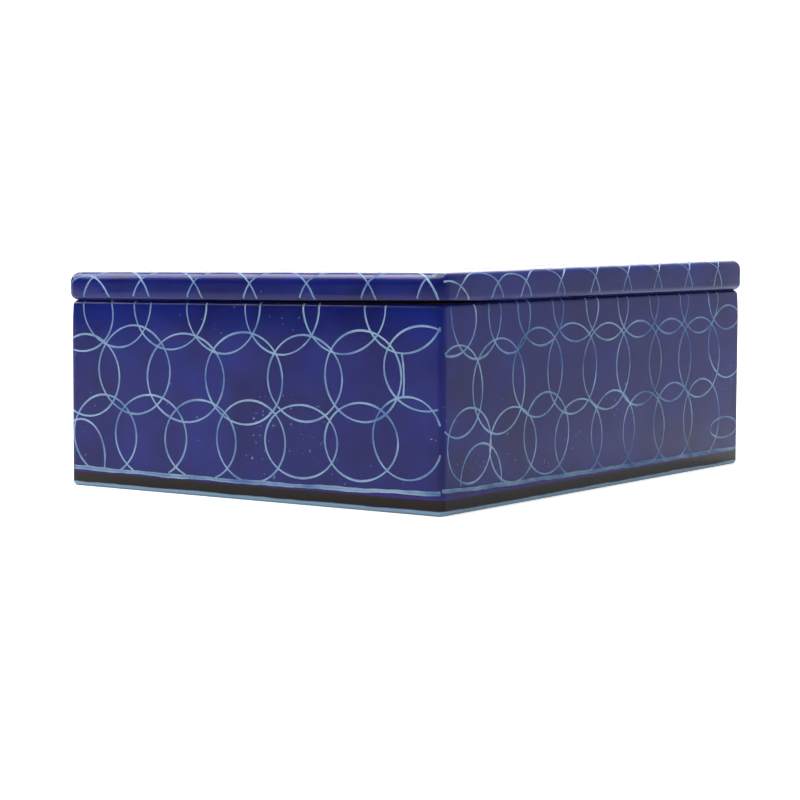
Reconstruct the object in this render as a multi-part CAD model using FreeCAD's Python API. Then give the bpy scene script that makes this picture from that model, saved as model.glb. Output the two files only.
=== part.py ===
# Carved soapstone trinket box: a one-piece stone body and a lift-off stone lid.
# Millimetres, +Z up, origin at the middle of the underside.
# X runs along the short sides, Y along the long sides.
# The stone is sawn and filed by hand, so neither the rim nor the lid is quite parallel to the foot.
import FreeCAD
import Part
import math
import os

Vector = FreeCAD.Vector

# Overall sizes
body_width = 75.4
body_length = 100.8
body_height = 31.9  # at the middle of the width
rim_rise = 1.0  # how much higher the rim is at +X than at -X
lid_thickness = 4.65  # at the -Y end
lid_taper = 0.85  # how much thicker the lid is at the +Y end
lid_overhang = 0.4

# Outside edges, eased by filing
body_corner_radius = 1.4
shoulder_radius = 0.8
foot_chamfer = 0.7
lid_corner_radius = 2.0
lid_top_radius = 1.7
lid_lower_radius = 1.2

# Line scored round the foot
score_height = 3.1
score_width = 0.5
score_depth = 0.2

# Hollow cut into the block
wall_thickness = 7.0
floor_thickness = 6.5
cavity_corner_radius = 5.0
cavity_floor_radius = 2.5

# Step under the lid that drops into the hollow
step_clearance = 0.5
step_height = 2.4
step_edge_radius = 0.6

# Corner of the lid where the seat is filed away, so the joint shows a gap
relief_height = 0.55
relief_along_width = 62.0
relief_along_length = 20.0

# Sizes that follow
rim_angle = math.degrees(math.atan(rim_rise / body_width))
rim_top = body_height + rim_rise / 2
lid_width = body_width + 2 * lid_overhang
lid_length = body_length + 2 * lid_overhang
lid_angle = math.degrees(math.atan(lid_taper / lid_length))
lid_middle_thickness = lid_thickness + lid_taper / 2
cavity_width = body_width - 2 * wall_thickness
cavity_length = body_length - 2 * wall_thickness
step_width = cavity_width - 2 * step_clearance
step_length = cavity_length - 2 * step_clearance
step_corner_radius = cavity_corner_radius - step_clearance

ALONG_X = Vector(1, 0, 0)
ALONG_Y = Vector(0, 1, 0)
OVERSHOOT = 5.0  # how far a cutting block reaches past the stone


def rounded_block(width, length, height, corner_radius, bottom):
    """Upright block centred on the Z axis, with its four standing edges rounded."""
    corner = Vector(-width / 2, -length / 2, bottom)
    block = Part.makeBox(width, length, height, corner)
    standing = [edge for edge in block.Edges if is_standing(edge)]
    return block.makeFillet(corner_radius, standing)


def is_standing(edge):
    """True for an edge that runs parallel to Z."""
    start, end = edge.Vertexes[0].Point, edge.Vertexes[-1].Point
    return abs(start.x - end.x) < 1e-6 and abs(start.y - end.y) < 1e-6


def sawn_above(solid, height, axis, angle):
    """What is left below a saw cut at one height on the Z axis, turned about a level axis."""
    box = solid.BoundBox
    reach = max(box.XLength, box.YLength) + OVERSHOOT
    waste = Part.makeBox(2 * reach, 2 * reach, reach, Vector(-reach, -reach, height))
    waste.rotate(Vector(0, 0, height), axis, angle)
    return solid.cut(waste)


def top_edges(solid):
    """Edges round the highest face."""
    return max(solid.Faces, key=lambda face: face.CenterOfMass.z).OuterWire.Edges


def bottom_edges(solid):
    """Edges round the lowest face."""
    return min(solid.Faces, key=lambda face: face.CenterOfMass.z).OuterWire.Edges


def score_ring():
    """Ring of stone that the scored line removes from round the foot."""
    bottom = score_height - score_width / 2
    outside = rounded_block(body_width + OVERSHOOT, body_length + OVERSHOOT, score_width,
                            body_corner_radius, bottom)
    inside = rounded_block(body_width - 2 * score_depth, body_length - 2 * score_depth, score_width,
                           body_corner_radius - score_depth, bottom)
    return outside.cut(inside)


def cavity():
    """The hollow, with a rounded floor edge, open at the rim."""
    hollow = rounded_block(cavity_width, cavity_length, rim_top - floor_thickness + OVERSHOOT,
                           cavity_corner_radius, floor_thickness)
    return hollow.makeFillet(cavity_floor_radius, bottom_edges(hollow))


def box_body():
    """Body: the block sawn to its sloping rim, with eased edges, the hollow and the scored line."""
    block = rounded_block(body_width, body_length, rim_top, body_corner_radius, 0)
    block = sawn_above(block, body_height, ALONG_Y, -rim_angle)
    block = block.makeFillet(shoulder_radius, top_edges(block))
    block = block.makeChamfer(foot_chamfer, bottom_edges(block))
    return block.cut(cavity()).cut(score_ring())


def corner_relief():
    """Wedge filed off the lid's seat: deepest at the +X -Y corner, fading along both edges."""
    corner = Vector(lid_width / 2, -lid_length / 2, 0)
    peak = corner + Vector(0, 0, relief_height)
    along_width = corner - Vector(relief_along_width, 0, 0)
    along_length = corner + Vector(0, relief_along_length, 0)
    faces = [
        triangle(corner, along_width, along_length),
        triangle(corner, peak, along_width),
        triangle(corner, along_length, peak),
        triangle(peak, along_length, along_width),
    ]
    return Part.makeSolid(Part.makeShell(faces))


def triangle(first, second, third):
    """Flat three-sided face."""
    return Part.Face(Part.makePolygon([first, second, third, first]))


def lid_plate():
    """The overhanging plate with its fully rounded edge, its seat level at height 0."""
    plate = rounded_block(lid_width, lid_length, lid_thickness + lid_taper, lid_corner_radius, 0)
    plate = sawn_above(plate, lid_middle_thickness, ALONG_X, lid_angle)
    plate = plate.makeFillet(lid_top_radius, top_edges(plate))
    plate = plate.makeFillet(lid_lower_radius, bottom_edges(plate))
    return plate.cut(corner_relief())


def lid():
    """Lid: the plate and the step beneath it, seated on the sloping rim."""
    step = rounded_block(step_width, step_length, step_height + lid_thickness / 2,
                         step_corner_radius, -step_height)
    step = step.makeFillet(step_edge_radius, bottom_edges(step))
    whole = lid_plate().fuse(step).removeSplitter()
    whole.rotate(Vector(0, 0, 0), ALONG_Y, -rim_angle)
    whole.translate(Vector(0, 0, body_height))
    return whole


def write_node(name, shape):
    """One sub-part as a STEP file, after a check that it is a single sound solid."""
    if not shape.isValid() or len(shape.Solids) != 1:
        raise ValueError(name + " is not one valid solid")
    shape.Solids[0].exportStep("parts/" + name + ".step")
    print(name, "volume", round(shape.Volume, 1), "box", shape.BoundBox)


os.makedirs("parts", exist_ok=True)
write_node("box_body", box_body())
write_node("lid", lid())
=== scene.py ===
import math
import random

import bmesh
import bpy
from mathutils import Matrix, Vector


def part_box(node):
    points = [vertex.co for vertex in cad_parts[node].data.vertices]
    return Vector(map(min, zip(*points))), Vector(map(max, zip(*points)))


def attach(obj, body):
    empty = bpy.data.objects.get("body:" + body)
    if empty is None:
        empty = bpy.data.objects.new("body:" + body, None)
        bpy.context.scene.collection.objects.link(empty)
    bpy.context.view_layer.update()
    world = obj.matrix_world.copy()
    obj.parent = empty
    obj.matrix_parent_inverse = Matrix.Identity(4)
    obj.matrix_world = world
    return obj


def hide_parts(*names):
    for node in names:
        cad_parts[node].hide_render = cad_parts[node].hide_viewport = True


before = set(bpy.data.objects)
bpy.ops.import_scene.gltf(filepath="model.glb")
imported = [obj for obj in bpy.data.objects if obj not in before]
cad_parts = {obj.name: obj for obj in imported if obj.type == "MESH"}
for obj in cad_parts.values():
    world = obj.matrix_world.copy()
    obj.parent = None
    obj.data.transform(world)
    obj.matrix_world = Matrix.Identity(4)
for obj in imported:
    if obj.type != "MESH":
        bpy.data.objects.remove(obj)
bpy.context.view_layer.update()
mm = 0.001
bodyLow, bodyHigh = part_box("box_body")
lidLow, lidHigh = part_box("lid")
dice = random.Random(41)


def deselectAll():
    bpy.ops.object.select_all(action="DESELECT")


def takeUp(piece):
    deselectAll()
    piece.select_set(True)
    bpy.context.view_layer.objects.active = piece


def pick(piece, kind, test):
    # in edit mode, selects the vertices, edges or faces that pass a test of place or normal
    bpy.ops.mesh.select_mode(type=kind)
    bpy.ops.mesh.select_all(action="DESELECT")
    mesh = bmesh.from_edit_mesh(piece.data)
    mesh.normal_update()
    for part in {"VERT": mesh.verts, "EDGE": mesh.edges, "FACE": mesh.faces}[kind]:
        if test(part):
            part.select_set(True)
    bmesh.update_edit_mesh(piece.data)


def isStanding(edge):
    run = edge.verts[1].co - edge.verts[0].co
    return abs(run.z) > 0.9 * run.length


def isRing(edge, up):
    # an edge between the level top (up is 1) or bottom (up is -1) and a standing face
    if len(edge.link_faces) != 2:
        return False
    tilts = sorted(face.normal.z * up for face in edge.link_faces)
    return tilts[1] > 0.9 and tilts[0] < 0.5


def stoneBlock(name, width, length, bottom, top):
    deselectAll()
    middle = (0, 0, (bottom + top) / 2)
    bpy.ops.mesh.primitive_cube_add(size=1, location=middle, scale=(width, length, top - bottom))
    block = bpy.context.object
    block.name = name
    block.data.name = name
    bpy.ops.object.transform_apply(location=True, rotation=True, scale=True)
    return block


def roundEdges(piece, test, offset, segments):
    pick(piece, "EDGE", test)
    bpy.ops.mesh.bevel(offset=offset, segments=segments, affect="EDGES")


def sawLines(piece, axis, places):
    # divides the faces along flat planes without parting them, so that the eased zones can curve
    normal = [0, 0, 0]
    normal[axis] = 1
    for place in places:
        point = [0, 0, 0]
        point[axis] = place
        bpy.ops.mesh.select_all(action="SELECT")
        bpy.ops.mesh.bisect(plane_co=point, plane_no=normal)


def cutWith(piece, tool, operation="DIFFERENCE", solver="MANIFOLD"):
    takeUp(piece)
    cut = piece.modifiers.new("cut", "BOOLEAN")
    cut.operation = operation
    cut.object = tool
    cut.solver = solver
    cut.material_mode = "TRANSFER"
    bpy.ops.object.modifier_apply(modifier=cut.name)
    bpy.data.objects.remove(tool, do_unlink=True)


# colours and nodes


def stoneColour(hexCode):
    parts = [int(hexCode[i:i + 2], 16) / 255 for i in (1, 3, 5)]
    return [c / 12.92 if c <= 0.04045 else ((c + 0.055) / 1.055) ** 2.4 for c in parts] + [1]


def addNode(tree, kind, settings=None, inputs=None):
    # kind is the shader node's name without its prefix; settings are its own properties, and an
    # input is a value or another node's output
    made = tree.nodes.new("ShaderNode" + kind)
    for key, value in (settings or {}).items():
        setattr(made, key, value)
    for key, value in (inputs or {}).items():
        if isinstance(value, bpy.types.NodeSocket):
            tree.links.new(value, made.inputs[key])
        else:
            made.inputs[key].default_value = value
    return made


def newStone(name):
    stone = bpy.data.materials.new(name)
    stone.use_nodes = True
    stone.node_tree.nodes.clear()
    return stone, stone.node_tree


# soapstone dyed ultramarine, sanded, waxed and buffed: deep flat blue under a thin clear sheen
dyed = {
    "light": "#10237a",
    "deep": "#0a155c",
    "rubbed": "#1c1f63",
    "fringe": "#2a1a78",
    "band": "#0d0a0d",
    "worn": "#86abc6",
    "roughness": 0.17,
    "ior": 1.39,
    "bandTop": 2.45 * mm,
    "bandFoot": 0.75 * mm,
    "fringeHeight": 0.45 * mm,
    "waxTint": (1.0, 0.86, 0.8, 1),
}


def heightMask(tree, place, low, high, soft, waver):
    # 1 between two heights, with edges that waver like a line rubbed in by hand
    height = addNode(tree, "SeparateXYZ", None, {"Vector": place}).outputs["Z"]
    ripple = addNode(tree, "TexNoise", None, {"Vector": place, "Scale": 140, "Detail": 3}).outputs["Fac"]
    level = addNode(tree, "Math", {"operation": "MULTIPLY_ADD"}, {0: ripple, 1: waver, 2: height}).outputs[0]
    above = addNode(tree, "MapRange", {"interpolation_type": "SMOOTHSTEP"},
                    {"Value": level, "From Min": low + waver / 2 - soft, "From Max": low + waver / 2 + soft})
    below = addNode(tree, "MapRange", {"interpolation_type": "SMOOTHSTEP"},
                    {"Value": level, "From Min": high + waver / 2 + soft,
                     "From Max": high + waver / 2 - soft})
    return addNode(tree, "Math", {"operation": "MULTIPLY"},
                   {0: above.outputs["Result"], 1: below.outputs["Result"]}).outputs[0]


def layColour(tree, under, mask, hexCode):
    return addNode(tree, "Mix", {"data_type": "RGBA"},
                   {"Factor": mask, "A": under, "B": stoneColour(hexCode)}).outputs["Result"]


def makeDyedStone():
    stone, tree = newStone("dyedWaxedSoapstone")
    place = addNode(tree, "TexCoord").outputs["Object"]
    # mottling about 12 mm across, where the dye has sunk in unevenly
    mottle = addNode(tree, "TexNoise", None, {"Vector": place, "Scale": 85, "Detail": 5, "Roughness": 0.6})
    blend = addNode(tree, "MapRange", None,
                    {"Value": mottle.outputs["Fac"], "From Min": 0.36, "From Max": 0.66})
    colour = addNode(tree, "Mix", {"data_type": "RGBA"},
                     {"Factor": blend.outputs["Result"], "A": stoneColour(dyed["deep"]),
                      "B": stoneColour(dyed["light"])}).outputs["Result"]
    # sanding streaks: 0.3 mm high and some 8 mm long, all level
    drawn = addNode(tree, "Mapping", None, {"Vector": place, "Scale": (120, 120, 3200)}).outputs["Vector"]
    streak = addNode(tree, "TexNoise", None, {"Vector": drawn, "Scale": 1, "Detail": 3}).outputs["Fac"]
    rubbed = addNode(tree, "MapRange", None,
                     {"Value": streak, "From Min": 0.5, "From Max": 0.8, "To Max": 0.15}).outputs["Result"]
    colour = layColour(tree, colour, rubbed, dyed["rubbed"])
    # chips a third of a millimetre across where the pale stone shows, gathered in patches
    grain = addNode(tree, "TexNoise", None, {"Vector": place, "Scale": 1500, "Detail": 2}).outputs["Fac"]
    patch = addNode(tree, "TexNoise", None, {"Vector": place, "Scale": 60, "Detail": 2}).outputs["Fac"]
    chip = addNode(tree, "Math", {"operation": "MULTIPLY_ADD"}, {0: patch, 1: 0.4, 2: grain}).outputs[0]
    chipped = addNode(tree, "MapRange", None,
                      {"Value": chip, "From Min": 0.955, "From Max": 1.0, "To Max": 0.55}).outputs["Result"]
    colour = layColour(tree, colour, chipped, dyed["worn"])
    # black band, then a violet fringe above it and a foot edge rubbed back to pale stone
    fringeTop = dyed["bandTop"] + dyed["fringeHeight"]
    fringe = heightMask(tree, place, dyed["bandTop"], fringeTop, 0.1 * mm, 0.15 * mm)
    colour = layColour(tree, colour, fringe, dyed["fringe"])
    band = heightMask(tree, place, dyed["bandFoot"], dyed["bandTop"], 0.09 * mm, 0.2 * mm)
    colour = layColour(tree, colour, band, dyed["band"])
    foot = heightMask(tree, place, 0.02 * mm, dyed["bandFoot"], 0.12 * mm, 0.5 * mm)
    colour = layColour(tree, colour, foot, dyed["worn"])
    gloss = addNode(tree, "MapRange", None,
                    {"Value": streak, "From Min": 0.3, "From Max": 0.75, "To Min": dyed["roughness"],
                     "To Max": dyed["roughness"] + 0.07}).outputs["Result"]
    wave = addNode(tree, "TexNoise", None, {"Vector": place, "Scale": 110, "Detail": 1}).outputs["Fac"]
    rolling = addNode(tree, "Bump", None, {"Height": wave, "Strength": 0.35, "Distance": 0.25 * mm})
    fine = addNode(tree, "Bump", None,
                   {"Height": streak, "Strength": 0.2, "Distance": 0.012 * mm,
                    "Normal": rolling.outputs["Normal"]})
    shader = addNode(tree, "BsdfPrincipled", None,
                     {"Base Color": colour, "Roughness": gloss, "IOR": dyed["ior"],
                      "Specular Tint": dyed["waxTint"], "Normal": fine.outputs["Normal"]})
    addNode(tree, "OutputMaterial", None, {"Surface": shader.outputs["BSDF"]})
    return stone


# soapstone laid bare by the scriber: chalky and dull, light blue where dye has bled in
pale = {"bled": "#5c84b6", "fresh": "#b0cde0", "roughness": 0.6, "ior": 1.43}


def makePaleStone():
    stone, tree = newStone("scratchedPaleSoapstone")
    place = addNode(tree, "TexCoord").outputs["Object"]
    depth = addNode(tree, "TexNoise", None, {"Vector": place, "Scale": 120, "Detail": 4, "Roughness": 0.6})
    blend = addNode(tree, "MapRange", None,
                    {"Value": depth.outputs["Fac"], "From Min": 0.35, "From Max": 0.68})
    base = addNode(tree, "Mix", {"data_type": "RGBA"},
                   {"Factor": blend.outputs["Result"], "A": stoneColour(pale["bled"]),
                    "B": stoneColour(pale["fresh"])})
    shader = addNode(tree, "BsdfPrincipled", None,
                     {"Base Color": base.outputs["Result"], "Roughness": pale["roughness"],
                      "IOR": pale["ior"]})
    addNode(tree, "OutputMaterial", None, {"Surface": shader.outputs["BSDF"]})
    return stone


# undyed soapstone: cream and faintly pink, dull, with tool marks and dye that crept over the edges
natural = {"cream": "#e8ddcd", "pink": "#cdb0a0", "vein": "#8d7a70", "stain": "#141d58",
           "roughness": 0.62, "ior": 1.5}


def makeNaturalStone():
    stone, tree = newStone("naturalSoapstone")
    place = addNode(tree, "TexCoord").outputs["Object"]
    cloud = addNode(tree, "TexNoise", None, {"Vector": place, "Scale": 60, "Detail": 6, "Roughness": 0.6})
    colour = addNode(tree, "Mix", {"data_type": "RGBA"},
                     {"Factor": cloud.outputs["Fac"], "A": stoneColour(natural["pink"]),
                      "B": stoneColour(natural["cream"])}).outputs["Result"]
    # veins: thin bands where a slow noise crosses its middle
    slow = addNode(tree, "TexNoise", None,
                   {"Vector": place, "Scale": 22, "Detail": 5, "Distortion": 0.8}).outputs["Fac"]
    crossing = addNode(tree, "Math", {"operation": "COMPARE"}, {0: slow, 1: 0.5, 2: 0.004}).outputs[0]
    faint = addNode(tree, "Math", {"operation": "MULTIPLY"}, {0: crossing, 1: 0.28}).outputs[0]
    colour = layColour(tree, colour, faint, natural["vein"])
    # dye creeps in over the outer 3 mm or so
    split = addNode(tree, "SeparateXYZ", None, {"Vector": place})
    shares = []
    for axis, half in (("X", (bodyHigh.x - bodyLow.x) / 2), ("Y", (bodyHigh.y - bodyLow.y) / 2)):
        size = addNode(tree, "Math", {"operation": "ABSOLUTE"}, {0: split.outputs[axis]}).outputs[0]
        shares.append(addNode(tree, "Math", {"operation": "SUBTRACT"}, {0: size, 1: half}).outputs[0])
    nearest = addNode(tree, "Math", {"operation": "MAXIMUM"}, {0: shares[0], 1: shares[1]}).outputs[0]
    creep = addNode(tree, "Math", {"operation": "MULTIPLY_ADD"},
                    {0: cloud.outputs["Fac"], 1: 5 * mm, 2: nearest}).outputs[0]
    stained = addNode(tree, "MapRange", {"interpolation_type": "SMOOTHSTEP"},
                      {"Value": creep, "From Min": -1.5 * mm, "From Max": 1.0 * mm,
                       "To Max": 0.96}).outputs["Result"]
    colour = layColour(tree, colour, stained, natural["stain"])
    # chisel and file marks, some 2 mm apart
    marks = addNode(tree, "TexWave", {"bands_direction": "DIAGONAL"},
                    {"Vector": place, "Scale": 160, "Distortion": 5, "Detail": 3,
                     "Detail Scale": 2}).outputs["Fac"]
    carved = addNode(tree, "Bump", None, {"Height": marks, "Strength": 0.5, "Distance": 0.08 * mm})
    shader = addNode(tree, "BsdfPrincipled", None,
                     {"Base Color": colour, "Roughness": natural["roughness"], "IOR": natural["ior"],
                      "Normal": carved.outputs["Normal"]})
    addNode(tree, "OutputMaterial", None, {"Surface": shader.outputs["BSDF"]})
    return stone


dyedStone = makeDyedStone()
paleStone = makePaleStone()
naturalStone = makeNaturalStone()

# body

body = {
    "rimRise": 1.0 * mm,  # the rim is this much higher at +X than at -X
    "arris": 1.1 * mm,
    "shoulder": 0.9 * mm,
    "foot": 0.7 * mm,
    "wall": 7.0 * mm,
    "floor": 6.5 * mm,
    "cavityCorner": 5.0 * mm,
    "cavityFloor": 2.5 * mm,
    "rimLip": 0.5 * mm,
    "easeWidth": 6.0 * mm,  # how far in from an edge the sanding has drawn the face down
    "easeDepth": 0.16 * mm,
    "easeStanding": 0.3,  # the standing edges' share of that depth
    "leanFrom": 8 * mm,
}
body["width"] = bodyHigh.x - bodyLow.x
body["length"] = bodyHigh.y - bodyLow.y
body["rim"] = bodyHigh.z - body["rimRise"] / 2
rimSlope = body["rimRise"] / body["width"]


def makeBody():
    width, length, rim = body["width"], body["length"], body["rim"]
    block = stoneBlock("boxBody", width, length, 0, rim)
    block.data.materials.append(dyedStone)
    bpy.ops.object.mode_set(mode="EDIT")
    roundEdges(block, isStanding, body["arris"], 8)
    roundEdges(block, lambda edge: isRing(edge, 1), body["shoulder"], 7)
    roundEdges(block, lambda edge: isRing(edge, -1), body["foot"], 3)
    inward = [step * mm for step in (1.6, 2.3, 3.1, 4.0, 5.0, 6.0)]
    sawLines(block, 2, [rim - step for step in inward])
    sawLines(block, 0, [side * (width / 2 - step) for step in inward for side in (-1, 1)])
    sawLines(block, 1, [side * (length / 2 - step) for step in inward for side in (-1, 1)])
    bpy.ops.object.mode_set(mode="OBJECT")
    cutWith(block, makeCavityTool(), solver="EXACT")
    easeAndLean(block)
    return block


def makeCavityTool():
    # the shape of the hollow; its mouth flares so that the rim's inner edge comes out eased
    width, length = body["width"] - 2 * body["wall"], body["length"] - 2 * body["wall"]
    lip = body["rimLip"]
    tool = stoneBlock("cavityTool", width, length, body["floor"], body["rim"] - lip)
    tool.data.materials.append(naturalStone)
    bpy.ops.object.mode_set(mode="EDIT")
    roundEdges(tool, isStanding, body["cavityCorner"], 9)
    roundEdges(tool, lambda edge: isRing(edge, -1), body["cavityFloor"], 6)
    for lift, spread in ((0.35, 0.10), (0.35, 0.3), (0.3, 0.75), (3, 0)):
        pick(tool, "FACE", lambda face: face.normal.z > 0.9)
        bpy.ops.mesh.extrude_region_move(TRANSFORM_OT_translate={"value": (0, 0, lift * lip)})
        bpy.ops.transform.resize(value=(1 + 2 * spread * lip / width, 1 + 2 * spread * lip / length, 1))
    bpy.ops.object.mode_set(mode="OBJECT")
    return tool


def easeAndLean(block):
    # draws the outside down towards its edges, then slopes the rim
    reach, depth, standing = body["easeWidth"], body["easeDepth"], body["easeStanding"]
    halfX, halfY, rim = body["width"] / 2, body["length"] / 2, body["rim"]
    inner = body["wall"] - 2 * body["rimLip"]
    for vertex in block.data.vertices:
        x, y, z = vertex.co
        if abs(x) > halfX - inner or abs(y) > halfY - inner:
            nearRim = max(0, 1 - (rim - z) / reach)
            nearX = max(0, 1 - (halfX - abs(x)) / reach)
            nearY = max(0, 1 - (halfY - abs(y)) / reach)
            drawnX = depth * (nearRim ** 2 + standing * nearY ** 2) * min(1, nearX * 1.4)
            drawnY = depth * (nearRim ** 2 + standing * nearX ** 2) * min(1, nearY * 1.4)
            vertex.co.x -= math.copysign(drawnX, x)
            vertex.co.y -= math.copysign(drawnY, y)
        rise = min(1, max(0, (z - body["leanFrom"]) / (rim - body["leanFrom"])))
        vertex.co.z += x * rimSlope * rise
    block.data.update()


# lid

lid = {
    "thickness": 4.65 * mm,  # at the -Y end
    "taper": 0.85 * mm,  # how much thicker the +Y end is
    "corner": 2.0 * mm,
    "top": 1.7 * mm,
    "lower": 1.2 * mm,
    "reliefHeight": 0.6 * mm,  # the seat is filed away at the +X -Y corner
    "reliefAlongX": 62 * mm,
    "reliefAlongY": 20 * mm,
    "stepGap": 0.5 * mm,
    "stepHeight": 2.4 * mm,
    "stepEdge": 0.6 * mm,
}
lid["width"] = lidHigh.x - lidLow.x
lid["length"] = lidHigh.y - lidLow.y
lidSlope = lid["taper"] / lid["length"]


def makeLid():
    width, length = lid["width"], lid["length"]
    slab = stoneBlock("lidPlate", width, length, 0, lid["thickness"] + lid["taper"] / 2)
    slab.data.materials.append(dyedStone)
    for vertex in slab.data.vertices:
        if vertex.co.z > lid["thickness"] / 2:
            vertex.co.z += vertex.co.y * lidSlope
    bpy.ops.object.mode_set(mode="EDIT")
    roundEdges(slab, isStanding, lid["corner"], 10)
    roundEdges(slab, lambda edge: isRing(edge, 1), lid["top"], 12)
    roundEdges(slab, lambda edge: isRing(edge, -1), lid["lower"], 8)
    bpy.ops.object.mode_set(mode="OBJECT")
    cutWith(slab, makeReliefTool(), solver="EXACT")
    cutWith(slab, makeStep(), operation="UNION", solver="EXACT")
    for vertex in slab.data.vertices:
        vertex.co.z += vertex.co.x * rimSlope + body["rim"]
    slab.data.update()
    return slab


def makeReliefTool():
    # a wedge whose upper face falls away from the near corner along both edges
    width, length = lid["width"], lid["length"]
    tool = stoneBlock("reliefTool", 1.2 * width, 0.6 * length, -1 * mm, 1 * mm)
    tool.data.materials.append(dyedStone)
    for vertex in tool.data.vertices:
        vertex.co.y -= length / 2
        if vertex.co.z > 0:
            shareX = (width / 2 - vertex.co.x) / lid["reliefAlongX"]
            shareY = (vertex.co.y + length / 2) / lid["reliefAlongY"]
            vertex.co.z = lid["reliefHeight"] * (1 - shareX - shareY)
    return tool


def makeStep():
    inset = body["wall"] + lid["stepGap"]
    step = stoneBlock("lidStep", body["width"] - 2 * inset, body["length"] - 2 * inset, -lid["stepHeight"],
                      lid["thickness"] / 2)
    step.data.materials.append(naturalStone)
    bpy.ops.object.mode_set(mode="EDIT")
    roundEdges(step, isStanding, body["cavityCorner"] - lid["stepGap"], 9)
    roundEdges(step, lambda edge: isRing(edge, -1), lid["stepEdge"], 4)
    bpy.ops.object.mode_set(mode="OBJECT")
    return step


boxBody = makeBody()
lidPlate = makeLid()
print("stone blocks shaped", len(boxBody.data.polygons), len(lidPlate.data.polygons))

# scratched rings, in mm: along the side, height, half length, half height, and for a stroke that isn't
# a whole ring the degrees that it starts and ends at
rings = {
    "front": [
        (2.6, 29.1, 7.1, 6.3), (10.5, 30.8, 7.3, 7.1), (21.9, 31, 7.6, 7.3), (33, 30.9, 7.5, 7.4),
        (44.8, 31, 7.3, 7.3), (56.9, 31.4, 7.8, 7.2), (68.2, 31.9, 7.4, 7.2),
        (4, 18.8, 7.1, 6.85), (14.3, 20.1, 7.65, 7.3), (25.2, 19.2, 8.05, 7.2), (37.3, 19.6, 7.8, 7.4),
        (49.4, 20.1, 7.25, 6.8), (60.6, 20.9, 7.2, 7.1), (72, 22.5, 7.4, 6.5),
        (7.8, 9, 6.8, 6.7), (17.8, 9.3, 7.6, 6.8), (28.3, 9.2, 7.4, 6.5),
        (38.7, 9.6, 6.9, 6.6), (48.7, 10.1, 7.1, 5.8), (60.3, 10.7, 6.95, 6.05), (69, 11.7, 6.4, 6.4),
        (2.6, 5, 5.2, 6.4, -75, 150), (67.4, 20.4, 0.9, 5, -30, 60),
    ],
    "right": [
        (2.6, 30.2, 6.8, 5.9), (9.6, 30.9, 7.1, 7.2), (19.3, 30.5, 6.2, 6.4), (28.9, 31, 7.1, 6),
        (40.1, 31.3, 7.4, 6.1), (50.7, 31.3, 7.2, 6.3), (61.5, 31.3, 7.2, 6.2), (72.8, 31.4, 7.2, 6.1),
        (84.3, 31.3, 7.3, 6.3), (95.2, 31.5, 7.2, 6.2),
        (4.6, 18.9, 6.7, 7.1), (16.2, 19.1, 7.7, 7.5), (27.9, 20.7, 7.7, 7.2), (38.9, 20.8, 8, 7.5),
        (50.5, 20.6, 8, 7.3), (61.8, 20.6, 8, 7.3), (73.3, 20.6, 7.8, 7.3), (84.4, 20.6, 8, 7.2),
        (95.6, 23, 7.6, 6.6),
        (7.7, 10.4, 6.15, 5.9), (20.5, 9.6, 7, 6), (30.8, 10.7, 7.1, 6.6), (41.3, 9.1, 7.8, 6.5),
        (52.9, 9.5, 7.5, 6.8), (63.8, 9, 7.5, 6.5), (74.6, 9.6, 7.2, 7), (85.6, 9.6, 7.1, 7),
        (94.5, 7.2, 5.3, 1.9), (11.1, 4.6, 5.9, 5.9, -8, 185),
    ],
    "lidFront": [
        (4.6, 29.2, 5.5, 6.4), (11.1, 30.4, 7.3, 6.9), (22.1, 30.4, 7.5, 6.9), (33.4, 30.5, 7.4, 6.9),
        (44.9, 30.5, 7.3, 7), (56.4, 30.8, 7.5, 7.1), (68, 30.9, 7.4, 7.2), (77.2, 31.2, 6.2, 7),
    ],
    "lidRight": [
        (0.6, 29.6, 7.6, 6.4, 25, 98), (10.2, 30.6, 7.3, 6.7), (19.6, 31.4, 6.2, 5.4), (29.2, 31, 7.2, 6.8),
        (40.5, 31.1, 7.3, 7.1), (51.5, 31.2, 7.3, 7.2), (62.4, 31.3, 7.2, 7.2), (73.7, 31.5, 7.4, 7.3),
        (85.3, 31.7, 7.4, 7.3), (96.5, 31.8, 7.2, 7.3),
    ],
}

scratch = {
    "radius": 0.175 * mm,  # of the round-nosed point
    "lift": 0.06 * mm,  # how far its middle stays outside the face
    "steps": 72,
    "margin": 0.3,  # mm kept clear of the standing edges
    "wobble": 0.014,
    "lowest": 3.2,  # mm, where the body's rings stop above the scored line
    "drift": 0.35,  # mm, how far the rings on the two far sides stray from those on the near ones
}


def sideFrames(width, length):
    # for each side: where it starts, which way it runs and which way it faces
    halfX, halfY = width / 2, length / 2
    return {
        "front": (Vector((-halfX, -halfY, 0)), Vector((1, 0, 0)), Vector((0, -1, 0)), width),
        "right": (Vector((halfX, -halfY, 0)), Vector((0, 1, 0)), Vector((1, 0, 0)), length),
        "back": (Vector((halfX, halfY, 0)), Vector((-1, 0, 0)), Vector((0, 1, 0)), width),
        "left": (Vector((-halfX, halfY, 0)), Vector((0, -1, 0)), Vector((-1, 0, 0)), length),
    }


def ringPath(ring, seed):
    # one hand-scratched ring as (along, height) pairs in mm
    along, height, halfLong, halfHigh = ring[:4]
    first, last = ring[4:] or (0, 360)
    hand = random.Random(seed)
    sway = []
    for turns in (2, 3, 4):
        size = hand.uniform(-1, 1) * scratch["wobble"] / turns ** 0.5
        sway.append((turns, size, hand.uniform(0, 6.28)))
    path = []
    for k in range(scratch["steps"]):
        angle = math.radians(first + (last - first) * k / scratch["steps"])
        swell = 1 + sum(size * math.cos(turns * angle + phase) for turns, size, phase in sway)
        path.append((along + halfLong * swell * math.cos(angle),
                     height + halfHigh * swell * math.sin(angle)))
    return path


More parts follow.
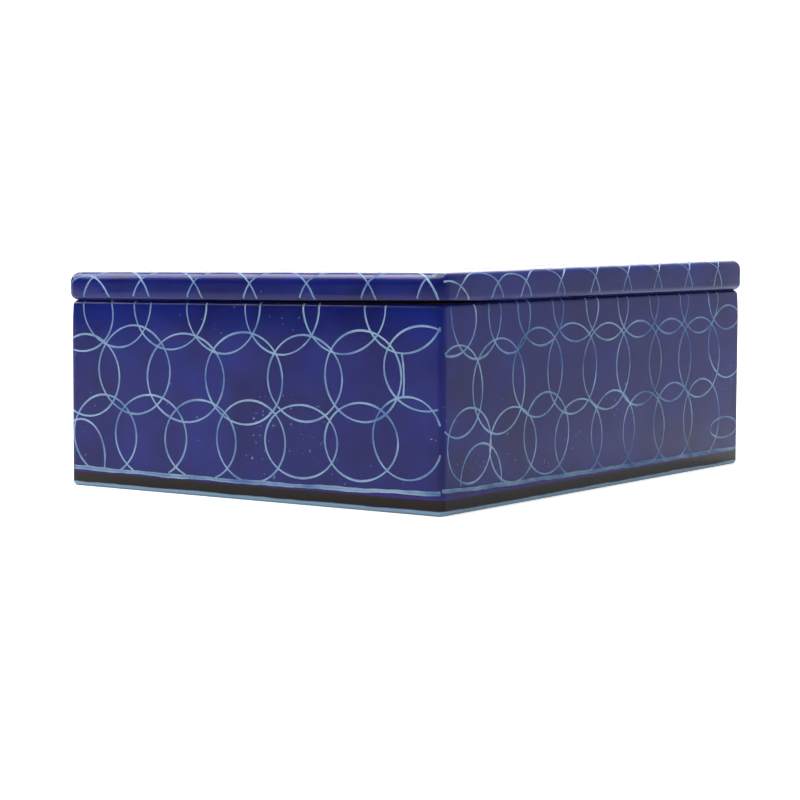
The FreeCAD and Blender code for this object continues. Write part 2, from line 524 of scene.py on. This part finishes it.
def runsInside(path, inside, closed):
    # the parts of a path that stay on the face, as separate runs
    flags = [inside(*point) for point in path]
    if all(flags):
        return [(path, closed)]
    if not any(flags):
        return []
    if closed:
        start = next(k for k in range(len(path)) if not flags[k])
        path, flags = path[start:] + path[:start], flags[start:] + flags[:start]
    runs, current = [], []
    for point, flag in zip(path, flags):
        if flag:
            current.append(point)
        elif current:
            runs.append((current, False))
            current = []
    if current:
        runs.append((current, False))
    return [run for run in runs if len(run[0]) > 3]


def layerOf(layers, side, path, gap=0.9):
    # strokes that would cross go to different layers, so that each cutting pass is clean
    low = [min(p[k] for p in path) - gap / 2 for k in (0, 1)]
    high = [max(p[k] for p in path) + gap / 2 for k in (0, 1)]
    for layer in layers:
        if all(other[0] != side or low[0] > other[2][0] or high[0] < other[1][0]
               or low[1] > other[2][1] or high[1] < other[1][1] for other in layer["boxes"]):
            break
    else:
        layer = {"boxes": [], "runs": []}
        layers.append(layer)
    layer["boxes"].append((side, low, high))
    return layer


def scratchTool(name, runs, surface, radius=None):
    # the runs as thin wires laid on the stone, then given the thickness of the scratching point
    points, edges = [], []
    for run, closed in runs:
        first = len(points)
        points += run
        edges += [(first + k, first + k + 1) for k in range(len(run) - 1)]
        if closed:
            edges.append((len(points) - 1, first))
    mesh = bpy.data.meshes.new(name)
    mesh.from_pydata(points, edges, [])
    wire = bpy.data.objects.new(name, mesh)
    bpy.context.scene.collection.objects.link(wire)
    takeUp(wire)
    lay = wire.modifiers.new("lay", "SHRINKWRAP")
    lay.target = surface
    lay.wrap_method = "NEAREST_SURFACEPOINT"
    lay.wrap_mode = "ABOVE_SURFACE"
    lay.offset = scratch["lift"]
    bpy.ops.object.modifier_apply(modifier=lay.name)
    bpy.ops.object.convert(target="CURVE")
    curve = wire.data
    curve.dimensions = "3D"
    curve.bevel_depth = radius or scratch["radius"]
    curve.bevel_resolution = 1
    curve.use_fill_caps = True
    for spline in curve.splines:
        phase = dice.uniform(0, 6.28)
        for k, point in enumerate(spline.points):
            point.radius = 1 + 0.13 * math.sin(k * 0.31 + phase) + dice.uniform(-0.05, 0.05)
    bpy.ops.object.convert(target="MESH")
    bpy.ops.object.mode_set(mode="EDIT")
    bpy.ops.mesh.select_all(action="SELECT")
    bpy.ops.mesh.remove_doubles(threshold=0.002 * mm)  # welds the end caps to the tube
    bpy.ops.object.mode_set(mode="OBJECT")
    wire.data.materials.clear()
    wire.data.materials.append(paleStone)
    return wire


def rolledOver(frameOfSide, along, height, topHeight, topRadius):
    # past the top edge a stroke follows the rounding and then lies on the top
    start, run, out, span = frameOfSide
    foot = start + run * along * mm
    top = topHeight(foot)
    over = height * mm - (top - topRadius)
    quarter = topRadius * math.pi / 2
    if over <= 0:
        inward, z = 0, height * mm
    elif over < quarter:
        inward = topRadius * (1 - math.cos(over / topRadius))
        z = top - topRadius + topRadius * math.sin(over / topRadius)
    else:
        inward, z = topRadius + over - quarter, top
    return Vector((foot.x, foot.y, 0)) - out * inward + Vector((0, 0, z))


def rimAt(point):
    return body["rim"] + point.x * rimSlope


def lidTopAt(point):
    return rimAt(point) + lid["thickness"] + lid["taper"] / 2 + point.y * lidSlope


def bodyAllows(height, foot):
    return scratch["lowest"] < height < rimAt(foot) / mm + 0.3


def lidAllows(height, foot):
    return rimAt(foot) / mm + 0.15 < height


sides = {
    "boxBody": {
        "width": body["width"], "length": body["length"], "allows": bodyAllows,
        "topAt": rimAt, "topRadius": body["shoulder"],
        "rings": {"front": "front", "right": "right", "back": "front", "left": "right"},
    },
    "lidPlate": {
        "width": lid["width"], "length": lid["length"], "allows": lidAllows,
        "topAt": lidTopAt, "topRadius": lid["top"],
        "rings": {"front": "lidFront", "right": "lidRight", "back": "lidFront", "left": "lidRight"},
    },
}


def engrave(piece, surface):
    work = sides[piece.name]
    layers = []
    for number, (side, frameOfSide) in enumerate(sideFrames(work["width"], work["length"]).items()):
        start, run, out, span = frameOfSide
        last = span / mm - scratch["margin"]

        def inside(along, height):
            return scratch["margin"] < along < last and work["allows"](height, start + run * along * mm)

        for count, ring in enumerate(rings[work["rings"][side]], 1):
            seed = 1000 * number + count
            if side in ("back", "left"):
                hand = random.Random(seed + 7)
                drift = scratch["drift"]
                ring = [value + hand.uniform(-drift, drift) for value in ring[:4]] + list(ring[4:])
            for stroke, closed in runsInside(ringPath(ring, seed), inside, len(ring) == 4):
                points = [rolledOver(frameOfSide, a, h, work["topAt"], work["topRadius"]) for a, h in stroke]
                layerOf(layers, side, stroke)["runs"].append((points, closed))
    for k, layer in enumerate(layers):
        cutWith(piece, scratchTool("scratch%d" % k, layer["runs"], surface))
    print(piece.name, "engraved in", len(layers), "passes", len(piece.data.polygons), "faces")


lidField = {"columns": 6, "rows": 8, "margin": 9.2, "half": 7.2, "drift": 0.4}  # mm


def engraveLidTop(surface):
    # the same overlapping rings in rows over the flat of the lid, each a little out of place
    hand = random.Random(31)
    halfX = lid["width"] / 2 / mm - lidField["margin"]
    halfY = lid["length"] / 2 / mm - lidField["margin"]
    layers = []
    for row in range(lidField["rows"]):
        for column in range(lidField["columns"]):
            drift = [hand.uniform(-lidField["drift"], lidField["drift"]) for _ in range(4)]
            ring = (halfX * (2 * column / (lidField["columns"] - 1) - 1) + drift[0],
                    halfY * (2 * row / (lidField["rows"] - 1) - 1) + drift[1],
                    lidField["half"] + drift[2], lidField["half"] + drift[3])
            path = ringPath(ring, 9000 + 20 * row + column)
            points = [Vector((x * mm, y * mm, 0)) for x, y in path]
            for point in points:
                point.z = lidTopAt(point)
            layerOf(layers, "top", path)["runs"].append((points, True))
    for k, layer in enumerate(layers):
        cutWith(lidPlate, scratchTool("lidTop%d" % k, layer["runs"], surface))
    print("lid top engraved in", len(layers), "passes")


# the line scored round the foot: (mm along the side, mm above the floor), unsteady as a hand-held gauge
scoredLine = {
    "radius": 0.36 * mm,
    "endGap": 0.25,  # mm left at each standing edge
    "steps": 90,
    "front": ((0, 3.15), (20, 3.0), (40, 3.0), (60, 3.2), (75.4, 3.6)),
    "right": ((0, 3.9), (10, 3.62), (20, 3.48), (40, 3.25), (60, 3.1), (100.8, 3.0)),
    "back": ((0, 3.0), (30, 3.3), (75.4, 3.1)),
    "left": ((0, 3.1), (50, 2.9), (100.8, 3.15)),
}


def heightAlong(stops, along):
    for (s0, h0), (s1, h1) in zip(stops, stops[1:]):
        if along <= s1:
            break
    return h0 + (h1 - h0) * min(1, max(0, (along - s0) / (s1 - s0)))


def scoreTool(surface):
    # four strokes, one to a side, that run out at the standing edges
    runs = []
    for side, frameOfSide in sideFrames(body["width"], body["length"]).items():
        start, run, out, span = frameOfSide
        gap = scoredLine["endGap"]
        path = []
        for k in range(scoredLine["steps"] + 1):
            along = gap + (span / mm - 2 * gap) * k / scoredLine["steps"]
            shake = 0.05 * math.sin(along * 0.5) + 0.03 * math.sin(along * 1.7 + 1)
            height = heightAlong(scoredLine[side], along) + shake
            path.append(start + run * along * mm + Vector((0, 0, height * mm)))
        runs.append((path, False))
    return scratchTool("scoreTool", runs, surface, scoredLine["radius"])


def plainCopy(piece):
    copy = piece.copy()
    copy.data = piece.data.copy()
    bpy.context.scene.collection.objects.link(copy)
    return copy


for piece in (boxBody, lidPlate):
    surface = plainCopy(piece)
    if piece == boxBody:
        cutWith(piece, scoreTool(surface))
    engrave(piece, surface)
    if piece == lidPlate:
        engraveLidTop(surface)
    bpy.data.objects.remove(surface, do_unlink=True)


def bareFaces(piece, test):
    # the faces that rest on something were never dyed
    stones = list(piece.data.materials)
    for face in piece.data.polygons:
        if stones[face.material_index] == dyedStone and test(face):
            face.material_index = stones.index(naturalStone)


bareFaces(boxBody, lambda face: face.normal.z < -0.9 and face.center.z < 0.2 * mm)
bareFaces(boxBody, lambda face: face.normal.z > 0.93 and face.center.z > body["rim"] - 1.5 * mm)
bareFaces(lidPlate, lambda face: face.normal.z < -0.93)

for piece, bodyName, node, slot in (
    (boxBody, "body", "box_body", "dyed_soapstone_body"),
    (lidPlate, "lid", "lid", "dyed_soapstone_lid"),
):
    takeUp(piece)
    bpy.ops.object.shade_smooth_by_angle(angle=math.radians(28))
    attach(piece, bodyName)
    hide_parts(node)

# studio

studio = {
    "floorX": (-1.5, 1.5),
    "floorY": (-0.55, 1.5),
    "floorLight": (0.64, 0.64, 0.64, 1),
    # the table's colour on its far right: a painted shade of the softbox's light falling off
    "floorPaintedShade": (0.4, 0.4, 0.44, 1),
    "softboxPlace": (-0.5, -0.12, 0.5),
    "softboxSize": 0.55,
    "softboxPower": 4.4,
    "ceilingEnergy": 3.7,
    "ceilingAngle": 60,
    "ceilingTilt": 8,
    # brightness by height, from level (0) to straight up (1)
    "wallLevels": ((0, 0.55), (0.2, 0.55), (0.4, 0.42), (0.56, 0.22), (1, 0.2)),
    "roomLevels": ((0, 0.08), (0.3, 0.1), (0.57, 0.2), (0.75, 0.3), (1, 0.3)),
    "cameraPlace": (0.23095, -0.34482, 0.04459),
    "cameraAzimuth": 34.326,
    "cameraElevation": 4.338,
    "cameraRoll": 0.241,
    "lens": 105.27,
}


def makeFloor():
    deselectAll()
    bpy.ops.mesh.primitive_plane_add(size=1, location=(0, 0, 0))
    floor = bpy.context.object
    floor.name = "paleFloor"
    for vertex in floor.data.vertices:
        vertex.co.x = studio["floorX"][vertex.co.x > 0]
        vertex.co.y = studio["floorY"][vertex.co.y > 0]
    paper, tree = newStone("whiteLightTable")
    seen = addNode(tree, "LightPath").outputs["Is Camera Ray"]
    lifted = addNode(tree, "MapRange", None, {"Value": seen, "To Min": 0.08, "To Max": 0.62})
    # painted shade: the table's colour darkens to the right, from 30 to 120 mm out, standing in for the
    # softbox's light falling off away from it
    place = addNode(tree, "TexCoord").outputs["Object"]
    across = addNode(tree, "SeparateXYZ", None, {"Vector": place}).outputs["X"]
    paintedFalloff = addNode(tree, "MapRange", None, {"Value": across, "From Min": 0.03, "From Max": 0.12})
    paperAndPaintedShade = addNode(tree, "Mix", {"data_type": "RGBA"},
                          {"Factor": paintedFalloff.outputs["Result"], "A": studio["floorLight"],
                           "B": studio["floorPaintedShade"]})
    shader = addNode(tree, "BsdfPrincipled", None,
                     {"Base Color": paperAndPaintedShade.outputs["Result"], "Roughness": 0.9,
                      "Specular IOR Level": 0.1,
                      "Emission Color": (1, 1, 1, 1), "Emission Strength": lifted.outputs["Result"]})
    addNode(tree, "OutputMaterial", None, {"Surface": shader.outputs["BSDF"]})
    floor.data.materials.append(paper)


def makeSoftbox():
    place = Vector(studio["softboxPlace"])
    turn = place.to_track_quat("Z", "Y").to_euler()
    bpy.ops.object.light_add(type="AREA", location=place, rotation=turn)
    box = bpy.context.object
    box.name = "softbox"
    box.data.shape = "SQUARE"
    box.data.size = studio["softboxSize"]
    box.data.energy = studio["softboxPower"]


def makeCeilingLight():
    # diffused light from overhead, a wide soft disc
    tilt = math.radians(-studio["ceilingTilt"])
    bpy.ops.object.light_add(type="SUN", location=(0, 0, 1), rotation=(0, tilt, 0))
    ceiling = bpy.context.object
    ceiling.name = "ceilingLight"
    ceiling.data.energy = studio["ceilingEnergy"]
    ceiling.data.angle = math.radians(studio["ceilingAngle"])


def makeRoom():
    # what the polish mirrors: a light wall behind the box, a dim room on the near side
    world = bpy.data.worlds.new("room")
    bpy.context.scene.world = world
    world.use_nodes = True
    tree = world.node_tree
    tree.nodes.clear()
    look = addNode(tree, "TexCoord").outputs["Generated"]
    height = addNode(tree, "SeparateXYZ", None, {"Vector": look}).outputs["Z"]
    towards = addNode(tree, "VectorMath", {"operation": "DOT_PRODUCT"}, {0: look, 1: (0.35, 0.94, 0)})
    side = addNode(tree, "MapRange", {"interpolation_type": "SMOOTHSTEP"},
                   {"Value": towards.outputs["Value"], "From Min": -0.1, "From Max": 0.5})
    lightWall = addNode(tree, "ValToRGB", None, {"Fac": height})
    dimRoom = addNode(tree, "ValToRGB", None, {"Fac": height})
    for backdrop, stops in ((lightWall, studio["wallLevels"]), (dimRoom, studio["roomLevels"])):
        ramp = backdrop.color_ramp
        while len(ramp.elements) < len(stops):
            ramp.elements.new(0.5)
        for element, (position, level) in zip(ramp.elements, stops):
            element.position = position
            element.color = (level, level, level, 1)
    room = addNode(tree, "Mix", {"data_type": "RGBA"},
                   {"Factor": side.outputs["Result"], "A": dimRoom.outputs["Color"],
                    "B": lightWall.outputs["Color"]})
    # a lit panel low on the far side, which is what the flat of the lid mirrors
    facing = addNode(tree, "VectorMath", {"operation": "DOT_PRODUCT"}, {0: look, 1: (-0.56, 0.82, 0.08)})
    panel = addNode(tree, "MapRange", {"interpolation_type": "SMOOTHSTEP"},
                    {"Value": facing.outputs["Value"], "From Min": 0.86, "From Max": 0.97})
    lit = addNode(tree, "Mix", {"data_type": "RGBA"},
                  {"Factor": panel.outputs["Result"], "A": room.outputs["Result"], "B": (1.7, 1.7, 1.75, 1)})
    seen = addNode(tree, "LightPath").outputs["Is Camera Ray"]
    shown = addNode(tree, "Mix", {"data_type": "RGBA"},
                    {"Factor": seen, "A": lit.outputs["Result"], "B": (1, 1, 1, 1)})
    back = addNode(tree, "Background", None, {"Color": shown.outputs["Result"], "Strength": 1.2})
    addNode(tree, "OutputWorld", None, {"Surface": back.outputs["Background"]})


def makeCamera():
    turn = (Matrix.Rotation(math.radians(studio["cameraAzimuth"]), 4, "Z")
            @ Matrix.Rotation(math.radians(90 - studio["cameraElevation"]), 4, "X")
            @ Matrix.Rotation(math.radians(studio["cameraRoll"]), 4, "Z"))
    bpy.ops.object.camera_add(location=studio["cameraPlace"], rotation=turn.to_euler())
    camera = bpy.context.object
    camera.name = "productCamera"
    camera.data.lens = studio["lens"]
    camera.data.sensor_width = 36
    camera.data.clip_start = 0.01
    bpy.context.scene.camera = camera
    bpy.context.scene.view_settings.view_transform = "Standard"


makeFloor()
makeSoftbox()
makeCeilingLight()
makeRoom()
makeCamera()
print("studio ready")
